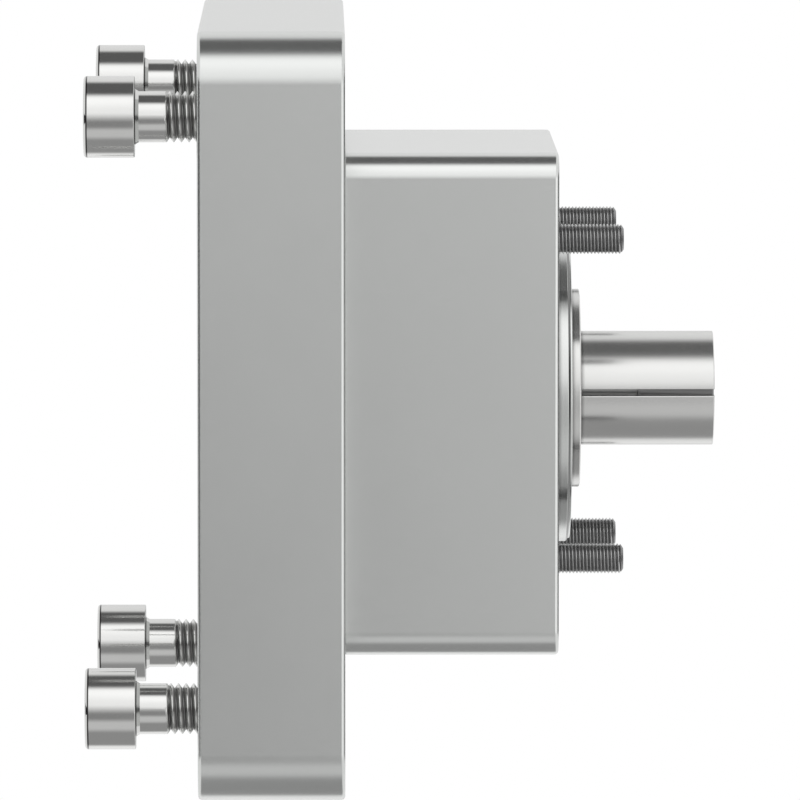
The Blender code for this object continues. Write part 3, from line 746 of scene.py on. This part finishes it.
class KIT_OT_motor_flange(bpy.types.Operator):
    """Build the square motor flange with its recess, bore and screw holes."""

    bl_idname = "kit.motor_flange"
    bl_label = "Motor flange"

    def execute(self, context):
        sizes, finish = context.scene.kit_sizes, context.scene.kit_finish
        low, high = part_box("motor_flange")
        high.x -= sizes.seam_setback
        plate = machined_block(low, high, sizes.flange_corner, sizes.edge_round, sizes.edge_round)
        flange = make_object("flange_plate", plate)
        lead, gap = sizes.hole_lead, sizes.fit_gap
        recess, bore = sizes.recess_diameter / 2, sizes.bore_diameter / 2
        floor = low.x + sizes.recess_depth
        opening = [
            (low.x - OVERRUN, 0.0, 0.0),
            (low.x - OVERRUN, recess + lead + OVERRUN, 0.0),
            (low.x + lead, recess, 0.0),
            (floor, recess, WIDE_ROUND),
            (floor, bore + lead, 0.0),
            (floor + lead, bore, 0.0),
            (high.x - lead, bore, 0.0),
            (high.x + OVERRUN, bore + lead + OVERRUN, 0.0),
            (high.x + OVERRUN, 0.0, 0.0),
        ]
        carve(flange, turned(opening, LARGE_STEPS, closed=False))
        for place in axis_places(numbered("motor_screw")):
            thread = hole(low.x - OVERRUN, high.x + OVERRUN, M10_RADIUS + gap, lead, True, True)
            carve(flange, moved(thread, place))
        head_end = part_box("flange_screw_1")[0].x
        seat = head_end + sizes.flange_head + gap
        head_radius = M6_HEAD_RADIUS + gap
        for place in axis_places(numbered("flange_screw")):
            passage = hole(seat - INTO_POCKET, high.x + OVERRUN, M6_RADIUS + gap, 0.0, False, False)
            carve(flange, moved(passage, place))
            pocket = [
                (floor - OVERRUN, 0.0, 0.0),
                (floor - OVERRUN, head_radius + lead + OVERRUN, 0.0),
                (floor + lead, head_radius, 0.0),
                (seat, head_radius, POCKET_ROUND),
                (seat, 0.0, 0.0),
            ]
            carve(flange, moved(turned(pocket, HEAD_STEPS, closed=False), place))
        metal = milled_aluminium("milled flange aluminium", finish.flange_colour, finish.flange_polish)
        dress(flange, metal, "housing", ["motor_flange"])
        return {"FINISHED"}


class KIT_OT_coupling_housing(bpy.types.Operator):
    """Build the coupling housing with its drive pilot, stepped bore, screw holes and key hole."""

    bl_idname = "kit.coupling_housing"
    bl_label = "Coupling housing"

    def execute(self, context):
        sizes, finish = context.scene.kit_sizes, context.scene.kit_finish
        low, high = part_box("coupling_housing")
        lead, gap = sizes.hole_lead, sizes.fit_gap
        low.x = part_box("motor_flange")[1].x - sizes.seam_setback + sizes.seam
        face = high.x - sizes.pilot_length
        body = machined_block(
            low, (face, high.y, high.z), sizes.housing_corner, sizes.seam_round, sizes.edge_round,
        )
        housing = make_object("housing_block", body)
        pilot = sizes.pilot_diameter / 2
        land = pilot - PILOT_SLOPE * sizes.pilot_lead
        chamfer = (high.x - sizes.pilot_land - sizes.pilot_lead, high.x - sizes.pilot_land)
        spigot = [
            (face - OVERRUN, 0.0, 0.0),
            (face - OVERRUN, pilot, 0.0),
            (chamfer[0], pilot, FINE_ROUND),
            (chamfer[1], land, HAIR_ROUND),
            (high.x, land, RIM_ROUND),
            (high.x, 0.0, 0.0),
        ]
        carve(housing, turned(spigot, LARGE_STEPS, closed=False), "UNION")
        bore, lip = sizes.bore_diameter / 2, sizes.lip_diameter / 2
        step = high.x - sizes.lip_length
        opening = [
            (low.x - OVERRUN, 0.0, 0.0),
            (low.x - OVERRUN, bore + lead + OVERRUN, 0.0),
            (low.x + lead, bore, 0.0),
            (step, bore, WIDE_ROUND),
            (step, lip, 0.0),
            (high.x - lead, lip, 0.0),
            (high.x + OVERRUN, lip + lead + OVERRUN, 0.0),
            (high.x + OVERRUN, 0.0, 0.0),
        ]
        carve(housing, turned(opening, LARGE_STEPS, closed=False))
        head_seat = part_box("drive_screw_1")[0].x + sizes.drive_head + gap
        for place in axis_places(numbered("drive_screw")):
            passage = hole(
                head_seat - INTO_POCKET, face + OVERRUN, M6_RADIUS + gap, DRIVE_HOLE_LEAD, False, True,
            )
            carve(housing, moved(passage, place))
            pocket = hole(low.x - OVERRUN, head_seat, M6_HEAD_RADIUS + gap, lead, True, False)
            carve(housing, moved(pocket, place))
        thread_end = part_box("flange_screw_1")[1].x + BLIND_END
        for place in axis_places(numbered("flange_screw")):
            thread = hole(low.x - OVERRUN, thread_end, M6_RADIUS + gap, lead, True, False)
            carve(housing, moved(thread, place))
        screw_low, screw_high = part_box("clamp_screw")
        centre = (screw_low + screw_high) / 2
        key_hole = hole(0.0, high.y + OVERRUN, sizes.access_diameter / 2, lead, False, True)
        key_hole = rotated(key_hole, QUARTER_TURN, "Z")
        carve(housing, moved(key_hole, (centre.x, 0.0, centre.z)))
        # Painted shade at the pilot's foot, and a painted shade band on the pilot's chamfer.
        metal = milled_aluminium(
            "milled housing aluminium", finish.housing_colour, finish.housing_polish,
            [face], sizes.painted_shade_reach, [chamfer],
        )
        dress(housing, metal, "housing", ["coupling_housing"])
        return {"FINISHED"}


class KIT_OT_motor_screws(bpy.types.Operator):
    """Build the four M10 screws that hold the motor."""

    bl_idname = "kit.motor_screws"
    bl_label = "Motor screws"

    def execute(self, context):
        sizes, finish = context.scene.kit_sizes, context.scene.kit_finish
        nodes = numbered("motor_screw")
        head_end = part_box(nodes[0])[0].x
        seat = head_end + sizes.motor_head
        # Painted shade lines near the end of the head and at its seat.
        bands = [
            [head_end + place for place in RIM_LINE],
            [seat + place for place in SEAT_LINE],
        ]
        steel = bright_steel("bright motor screw steel", finish.screw_colour, finish.screw_polish, bands)
        screws = screw_row(
            "motor_cap_screw", nodes, M10_RADIUS, sizes.motor_head, sizes.motor_pitch, sizes.motor_socket,
            thread_start=sizes.motor_plain,
        )
        for screw, node in zip(screws, nodes):
            dress(screw, steel, "housing", [node])
        return {"FINISHED"}


class KIT_OT_drive_screws(bpy.types.Operator):
    """Build the four fine-threaded screws that stand out of the drive side."""

    bl_idname = "kit.drive_screws"
    bl_label = "Drive screws"

    def execute(self, context):
        sizes, finish = context.scene.kit_sizes, context.scene.kit_finish
        steel = bright_steel("rolled drive screw steel", finish.drive_colour, finish.drive_polish)
        nodes = numbered("drive_screw")
        screws = screw_row(
            "drive_cap_screw", nodes, M6_RADIUS, sizes.drive_head, sizes.drive_pitch, sizes.drive_socket,
            thread_length=sizes.drive_thread,
        )
        for screw, node in zip(screws, nodes):
            dress(screw, steel, "housing", [node])
        return {"FINISHED"}


class KIT_OT_flange_screws(bpy.types.Operator):
    """Build the four screws that hold the flange and the housing together."""

    bl_idname = "kit.flange_screws"
    bl_label = "Flange screws"

    def execute(self, context):
        sizes, finish = context.scene.kit_sizes, context.scene.kit_finish
        steel = bright_steel("bright flange screw steel", finish.screw_colour, finish.screw_polish)
        nodes = numbered("flange_screw")
        screws = screw_row(
            "flange_cap_screw", nodes, M6_RADIUS, sizes.flange_head, sizes.flange_pitch, sizes.flange_socket,
            thread_length=sizes.flange_thread,
        )
        for screw, node in zip(screws, nodes):
            dress(screw, steel, "housing", [node])
        return {"FINISHED"}


def prism(outline, start, end):
    """A cutter along the shaft with an outline of (Y, Z) points."""
    shape = bmesh.new()
    face = shape.faces.new([shape.verts.new((start, y, z)) for y, z in outline])
    raised = bmesh.ops.extrude_face_region(shape, geom=[face])
    lifted = made(raised, bmesh.types.BMVert)
    bmesh.ops.translate(shape, vec=(end - start, 0.0, 0.0), verts=lifted)
    bmesh.ops.recalc_face_normals(shape, faces=shape.faces)
    return shape


def jaw_gap(middle_angle, start, end, leg_width, gap, reach):
    """A cutter for the space between two jaws of a hub: two spider legs and the other hub's jaw."""
    leg_angle = pi / (2 * JAW_COUNT)
    side = leg_width / 2 + gap
    outline = []
    for sense, distances in ((-1, (0.0, reach)), (1, (reach, 0.0))):
        direction = middle_angle + sense * leg_angle
        along = Vector((cos(direction), sin(direction)))
        across = Vector((-sin(direction), cos(direction))) * sense * side
        outline += [along * distance + across for distance in distances]
    return prism(outline, start, end)


def slit_lip(half, surface, rounding):
    """The outline of one rounded lip of a slit, as (depth, height) points from its wall to outside."""
    brink = sqrt(surface ** 2 - (half + rounding) ** 2)
    lip = []
    for step in range(LIP_STEPS + 1):
        turn = QUARTER_TURN * step / LIP_STEPS
        lip.append((brink - rounding * (1 - sin(turn)), half + rounding * (1 - cos(turn))))
    return lip + [(surface + OVERRUN, half + rounding)]


def slit_cutter(start, end, half, surface, upper, lower):
    """A cutter for a slit right through a round piece, with an upper and a lower rounded lip in front."""
    mouth = slit_lip(half, surface, lower) + [(y, -z) for y, z in reversed(slit_lip(half, surface, upper))]
    return prism(mouth + [(-y, -z) for y, z in mouth], start, end)


def cut_jaws(hub, first_angle, start, end, sizes, reach):
    """Cut the spaces between a hub's jaws."""
    for number in range(JAW_COUNT):
        angle = first_angle + number * FULL_TURN / JAW_COUNT
        carve(hub, jaw_gap(angle, start, end, sizes.leg_width, sizes.fit_gap, reach))


class KIT_OT_drive_hub(bpy.types.Operator):
    """Build the drive hub: jaws, collar and the slit expanding mandrel."""

    bl_idname = "kit.drive_hub"
    bl_label = "Drive hub and mandrel"

    def execute(self, context):
        sizes, finish = context.scene.kit_sizes, context.scene.kit_finish
        low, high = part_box("drive_hub")
        outer, mandrel = (high.z - low.z) / 2, sizes.mandrel_diameter / 2
        face = sizes.collar_face
        back = face - sizes.collar_flange
        inner = sizes.shaft_bore / 2
        screw_low, screw_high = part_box("tension_screw")
        seat = screw_low.x + sizes.tension_head + sizes.fit_gap
        seat_radius = (screw_high.y - screw_low.y) / 2 + sizes.fit_gap
        screw_hole = M8_RADIUS + sizes.fit_gap
        mouth_floor = high.x - sizes.cone_depth
        corners = [
            (high.x, sizes.cone_mouth / 2, RIM_ROUND),
            (high.x, mandrel, sizes.mandrel_round),
            (face, mandrel, FOOT_ROUND),
            (face, outer, sizes.collar_round),
            (low.x, outer, WIDE_ROUND),
            (low.x, inner, TURNED_ROUND),
            (back, inner, TURNED_ROUND),
            (back, seat_radius, TURNED_ROUND),
            (seat, seat_radius, POCKET_ROUND),
            (seat, screw_hole, 0.0),
            (mouth_floor, screw_hole, 0.0),
            (mouth_floor, sizes.cone_floor / 2, 0.0),
        ]
        hub = make_object("drive_hub_mandrel", turned(corners, HUB_STEPS))
        cut_jaws(hub, 0.0, low.x - OVERRUN, back, sizes, 2 * outer)
        slit_start, slit_end = face + sizes.fit_gap, high.x + OVERRUN
        half = sizes.mandrel_slit / 2
        carve(hub, slit_cutter(slit_start, slit_end, half, mandrel, sizes.upper_lip, sizes.lower_lip))
        # Painted shade at the foot of the collar and at the foot of the mandrel.
        feet = [sizes.pilot_length, face]
        metal = turned_metal(
            "turned hub steel", finish.hub_colour, finish.hub_polish, FINE_RINGS, feet, sizes.painted_shade_reach,
        )
        dress(hub, metal, "coupling", ["drive_hub"])
        return {"FINISHED"}


class KIT_OT_motor_hub(bpy.types.Operator):
    """Build the clamp hub on the motor side, and its clamp screw."""

    bl_idname = "kit.motor_hub"
    bl_label = "Motor hub and clamp screw"

    def execute(self, context):
        sizes, finish = context.scene.kit_sizes, context.scene.kit_finish
        low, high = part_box("motor_hub")
        outer, inner = (high.z - low.z) / 2, sizes.shaft_bore / 2
        front = high.x - (sizes.jaw_space - sizes.jaw_root)
        corners = [
            (high.x, outer, WIDE_ROUND),
            (low.x, outer, HUB_ROUND),
            (low.x, inner, HUB_ROUND),
            (high.x, inner, TURNED_ROUND),
        ]
        hub = make_object("motor_clamp_hub", turned(corners, HUB_STEPS))
        cut_jaws(hub, pi / JAW_COUNT, front, high.x + OVERRUN, sizes, 2 * outer)
        half = sizes.clamp_slit / 2
        carve(hub, block((low.x - OVERRUN, -half, -outer - OVERRUN), (front + SLIT_PAST_JAWS, half, 0.0)))
        screw_low, screw_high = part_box("clamp_screw")
        centre = (screw_low + screw_high) / 2
        head_radius = (screw_high.x - screw_low.x) / 2
        for start, end, radius in (
            (-outer - OVERRUN, outer + OVERRUN, M5_RADIUS + sizes.fit_gap),
            (sizes.clamp_ear, outer + OVERRUN, head_radius + sizes.fit_gap),
        ):
            passage = rotated(hole(start, end, radius, 0.0, False, False), QUARTER_TURN, "Z")
            carve(hub, moved(passage, (centre.x, 0.0, centre.z)))
        metal = turned_metal(
            "turned hub aluminium", finish.clamp_hub_colour, finish.clamp_hub_polish, COARSE_RINGS,
        )
        dress(hub, metal, "coupling", ["motor_hub"])
        shank_length = screw_high.y - screw_low.y - sizes.clamp_head
        shape = cap_screw(
            M5_RADIUS, head_radius, sizes.clamp_head, shank_length,
            shank_length - sizes.clamp_thread, sizes.clamp_pitch, sizes.clamp_socket,
        )
        seat = (centre.x, screw_high.y - sizes.clamp_head, centre.z)
        screw = make_object("clamp_cap_screw", moved(rotated(shape, -QUARTER_TURN, "Z"), seat))
        steel = blackened_steel("blackened clamp steel", finish.dark_colour, finish.dark_polish)
        dress(screw, steel, "coupling", ["clamp_screw"])
        return {"FINISHED"}


class KIT_OT_coupling_spider(bpy.types.Operator):
    """Build the elastomer star between the two hubs' jaws."""

    bl_idname = "kit.coupling_spider"
    bl_label = "Coupling spider"

    def execute(self, context):
        sizes, finish = context.scene.kit_sizes, context.scene.kit_finish
        low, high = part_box("coupling_spider")
        tip = max(high.y, high.z)
        ring = sizes.shaft_bore / 2 - sizes.fit_gap
        corners = [
            (high.x, ring, sizes.spider_round),
            (low.x, ring, sizes.spider_round),
            (low.x, sizes.spider_bore / 2, sizes.spider_round),
            (high.x, sizes.spider_bore / 2, sizes.spider_round),
        ]
        spider = make_object("spider_star", turned(corners, HUB_STEPS))
        leg_count = 2 * JAW_COUNT
        half = sizes.leg_width / 2
        for number in range(leg_count):
            leg = block((low.x, ring - LEG_ROOT, -half), (high.x, tip - sizes.fit_gap, half))
            soften(leg, leg.edges[:], sizes.spider_round, SOFT_SEGMENTS)
            carve(spider, rotated(leg, (number + 0.5) * FULL_TURN / leg_count, "X"), "UNION")
        rubber = moulded_elastomer("moulded spider elastomer", finish.spider_colour, finish.spider_polish)
        dress(spider, rubber, "coupling", ["coupling_spider"])
        return {"FINISHED"}


class KIT_OT_tensioner(bpy.types.Operator):
    """Build the expansion cone and the tension screw that pulls it into the mandrel."""

    bl_idname = "kit.tensioner"
    bl_label = "Cone and tension screw"

    def execute(self, context):
        sizes, finish = context.scene.kit_sizes, context.scene.kit_finish
        low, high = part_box("expansion_cone")
        wide = (high.z - low.z) / 2
        narrow = wide - (high.x - low.x) * tan(CONE_ANGLE)
        mandrel_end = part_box("drive_hub")[1].x
        high.x = mandrel_end - sizes.seam
        low.x = mandrel_end - sizes.cone_depth + sizes.seam
        hole_radius = M8_RADIUS + sizes.fit_gap
        corners = [
            (high.x, wide, TURNED_ROUND),
            (low.x, narrow, FINE_ROUND),
            (low.x, hole_radius, FINE_ROUND),
            (high.x, hole_radius, WIDE_ROUND),
        ]
        cone = make_object("mandrel_cone", turned(corners, HUB_STEPS))
        metal = turned_metal("phosphated cone steel", finish.cone_colour, finish.cone_polish, COARSE_RINGS)
        dress(cone, metal, "expansion_cone", ["expansion_cone"])
        screw, = screw_row(
            "tension_cap_screw", ["tension_screw"], M8_RADIUS, sizes.tension_head, sizes.tension_pitch,
            sizes.tension_socket, thread_length=sizes.tension_thread,
        )
        steel = bright_steel("grey tension steel", finish.tension_colour, finish.tension_polish)
        dress(screw, steel, "tension_screw", ["tension_screw"])
        return {"FINISHED"}


class Card(NamedTuple):
    """A lit card or a dark flag of the studio: the angles of its two edges, their softness and its level."""

    start: float
    end: float
    fade: float
    level: float


# The belt runs round the part over the top. Its angles start overhead and are negative on the camera's side.
GREY_TABLE = 0.38
BELT_CARDS = (
    Card(-200, -148, 9, GREY_TABLE),
    Card(-148, -82, 9, 0.74),
    Card(-82, -24, 9, 1.26),
    Card(-55, -27, 16, 1.22),
    Card(-24, 26, 9, 0.14),
    Card(62, 118, 6, 0.89),
    Card(121, 148, 6, 1.12),
    Card(149, 200, 9, GREY_TABLE),
)
CAMERA_STAND = Card(-118, -93, 8, 0.42)
STAND_EDGE = 0.06
# The side walls stand upright. Their angles start at the camera and are positive to the right.
RIGHT_WALL_CARDS = (Card(13, 52, 5, 1.40), Card(88, 146, 5, 0.05))
LEFT_WALL_CARDS = (Card(-94, -26, 4, 0.03),)
# Places in the studio are in metres, and start at the part's origin.
STUDIO_RADIUS = 2.5
STUDIO_HALF_WIDTH = 0.9
WALL_FOOT = -0.46
WALL_TOP = 0.28
FLOOR_HEIGHT = -0.30
FLOOR_RADIUS = 2.0
FLOOR_FADE = (0.5, 1.4)
FLOOR_WHITE = 0.75
FLOOR_COLOUR = (0.9, 0.9, 0.9)
FLOOR_POLISH = 0.9
# The camera looks along +Y with a long lens, dips a little and turns a little to the right.
CAMERA_PLACE = (-0.048076, -2.03587, 0.175292)
CAMERA_DIP = 4.990
CAMERA_TURN = 0.476
CAMERA_REACH = 50.0
FOCAL_LENGTH = 454.86
SENSOR_WIDTH = 36.0


def white_room():
    """An even white room, which lights the part and is the background."""
    world = bpy.data.worlds.new("white room")
    world.use_nodes = True
    background = world.node_tree.nodes["Background"]
    background.inputs["Color"].default_value = opaque(WHITE)
    background.inputs["Strength"].default_value = 1.0
    bpy.context.scene.world = world


def angle_between(opposite, along):
    """The angle of two coordinates, in degrees."""
    return opposite.math("ARCTAN2", opposite, along) * degrees(1.0)


def card_share(card, angle):
    """1 inside a card and 0 outside it, with soft edges."""
    return angle.within(card.start, card.end, card.fade)


def card_light(cards, angle):
    """The light of a row of cards, and the white of the room between them."""
    light = 1.0
    for card in cards:
        light = light + (card.level - 1.0) * card_share(card, angle)
    return light


def belt_light(place):
    """The light of the belt, with the camera's stand as a dark shape to the left of the lens."""
    x, y, z = place.parts()
    angle = angle_between(y, z)
    beside_lens = 1.0 - x.ease(-STAND_EDGE, STAND_EDGE)
    stand = card_share(CAMERA_STAND, angle) * beside_lens
    return card_light(BELT_CARDS, angle) * (1.0 - (1.0 - CAMERA_STAND.level) * stand)


def wall_light(cards):
    """The light of a side wall, as a function of a place on it."""
    def light(place):
        x, y, z = place.parts()
        return card_light(cards, angle_between(x, 0.0 - y))
    return light


def studio_screen(name, edge, axis, turn, light):
    """A curved screen that only mirroring metal sees: an edge swept about an axis, lit by a function."""
    shape = bmesh.new()
    ends = [shape.verts.new(point) for point in edge]
    line = shape.edges.new(ends)
    bmesh.ops.spin(
        shape, geom=[*ends, line], cent=ORIGIN, axis=axis, angle=turn, steps=LARGE_STEPS,
        use_merge=abs(turn) >= FULL_TURN, use_duplicate=False,
    )
    screen = make_object(name, shape)
    material = bpy.data.materials.new(name)
    material.use_nodes = True
    tree = material.node_tree
    tree.nodes.clear()
    place = object_place(tree)
    glow = place.node("ShaderNodeEmission", sockets={"Color": light(place), "Strength": 1.0})
    output = tree.nodes.new("ShaderNodeOutputMaterial")
    tree.links.new(glow.socket, output.inputs["Surface"])
    screen.data.materials.append(material)
    screen.visible_camera = False
    screen.visible_diffuse = False


def side_screen(name, cards):
    """A side wall from the first angle of its cards to the last."""
    first, last = radians(cards[0].start), radians(cards[-1].end)
    across, along = STUDIO_RADIUS * sin(first), -STUDIO_RADIUS * cos(first)
    edge = [(across, along, height) for height in (WALL_FOOT, WALL_TOP)]
    studio_screen(name, edge, UPRIGHT_AXIS, last - first, wall_light(cards))


def floor_material():
    """A pale matt floor that fades into the white room away from the part, whose shadow it keeps."""
    material, shader, place = new_material("pale floor", FLOOR_COLOUR, 0.0)
    shader.inputs["Roughness"].default_value = FLOOR_POLISH
    tree = material.node_tree
    x, y, z = place.parts()
    white = FLOOR_WHITE + (1.0 - FLOOR_WHITE) * (x * x + y * y).root().ease(*FLOOR_FADE)
    paths = place.node("ShaderNodeLightPath").socket.node
    seen = Wire(tree, paths.outputs["Is Camera Ray"]) + Wire(tree, paths.outputs["Is Transmission Ray"])
    glow = place.node("ShaderNodeEmission", sockets={"Color": opaque(WHITE), "Strength": 1.0})
    matt = Wire(tree, shader.outputs["BSDF"])
    surface = place.node("ShaderNodeMixShader", sockets={0: seen * white, 1: matt, 2: glow})
    tree.links.new(surface.socket, tree.nodes["Material Output"].inputs["Surface"])
    return material


def lay_floor():
    """A round floor under the part, which the metal doesn't mirror."""
    ground = bmesh.new()
    bmesh.ops.create_circle(ground, cap_ends=True, radius=FLOOR_RADIUS, segments=HEAD_STEPS)
    floor = make_object("studio_floor", moved(ground, (0.0, 0.0, FLOOR_HEIGHT)))
    floor.data.materials.append(floor_material())
    floor.visible_glossy = False


def place_camera(scene):
    """The camera at the photograph's viewing angle."""
    lens = bpy.data.cameras.new("studio_camera")
    lens.sensor_width = SENSOR_WIDTH
    lens.lens = FOCAL_LENGTH
    lens.clip_end = CAMERA_REACH
    camera = bpy.data.objects.new("studio_camera", lens)
    camera.location = CAMERA_PLACE
    camera.rotation_euler = (radians(90 - CAMERA_DIP), 0.0, radians(-CAMERA_TURN))
    scene.collection.objects.link(camera)
    scene.camera = camera


class KIT_OT_stage(bpy.types.Operator):
    """Build the studio: a pale floor, soft light all round and the camera."""

    bl_idname = "kit.stage"
    bl_label = "Studio stage"

    def execute(self, context):
        context.scene.view_settings.view_transform = "Standard"
        white_room()
        top = [(x, 0.0, STUDIO_RADIUS) for x in (-STUDIO_HALF_WIDTH, STUDIO_HALF_WIDTH)]
        studio_screen("studio_belt", top, SHAFT_AXIS, FULL_TURN, belt_light)
        side_screen("studio_right_wall", RIGHT_WALL_CARDS)
        side_screen("studio_left_wall", LEFT_WALL_CARDS)
        lay_floor()
        place_camera(context.scene)
        return {"FINISHED"}


class KIT_PT_panel(bpy.types.Panel):
    bl_idname = "KIT_PT_panel"
    bl_label = "Motor coupling kit"
    bl_space_type = "VIEW_3D"
    bl_region_type = "UI"
    bl_category = "Coupling Kit"

    def draw(self, context):
        layout = self.layout
        for operator in OPERATORS:
            layout.operator(operator.bl_idname)
        for group in (context.scene.kit_sizes, context.scene.kit_finish):
            box = layout.box()
            for name in group.bl_rna.properties.keys():
                if name not in ("rna_type", "name"):
                    box.prop(group, name)


OPERATORS = (
    KIT_OT_motor_flange,
    KIT_OT_coupling_housing,
    KIT_OT_motor_screws,
    KIT_OT_drive_screws,
    KIT_OT_flange_screws,
    KIT_OT_drive_hub,
    KIT_OT_motor_hub,
    KIT_OT_coupling_spider,
    KIT_OT_tensioner,
    KIT_OT_stage,
)
CLASSES = (KitSizes, KitFinish, *OPERATORS, KIT_PT_panel)


def register():
    for one in CLASSES:
        bpy.utils.register_class(one)
    bpy.types.Scene.kit_sizes = PointerProperty(type=KitSizes)
    bpy.types.Scene.kit_finish = PointerProperty(type=KitFinish)


def unregister():
    del bpy.types.Scene.kit_finish
    del bpy.types.Scene.kit_sizes
    for one in reversed(CLASSES):
        bpy.utils.unregister_class(one)


def main():
    register()
    bpy.ops.kit.motor_flange()
    bpy.ops.kit.coupling_housing()
    bpy.ops.kit.motor_screws()
    bpy.ops.kit.drive_screws()
    bpy.ops.kit.flange_screws()
    bpy.ops.kit.drive_hub()
    bpy.ops.kit.motor_hub()
    bpy.ops.kit.coupling_spider()
    bpy.ops.kit.tensioner()
    bpy.ops.kit.stage()


if __name__ == "__main__":
    main()
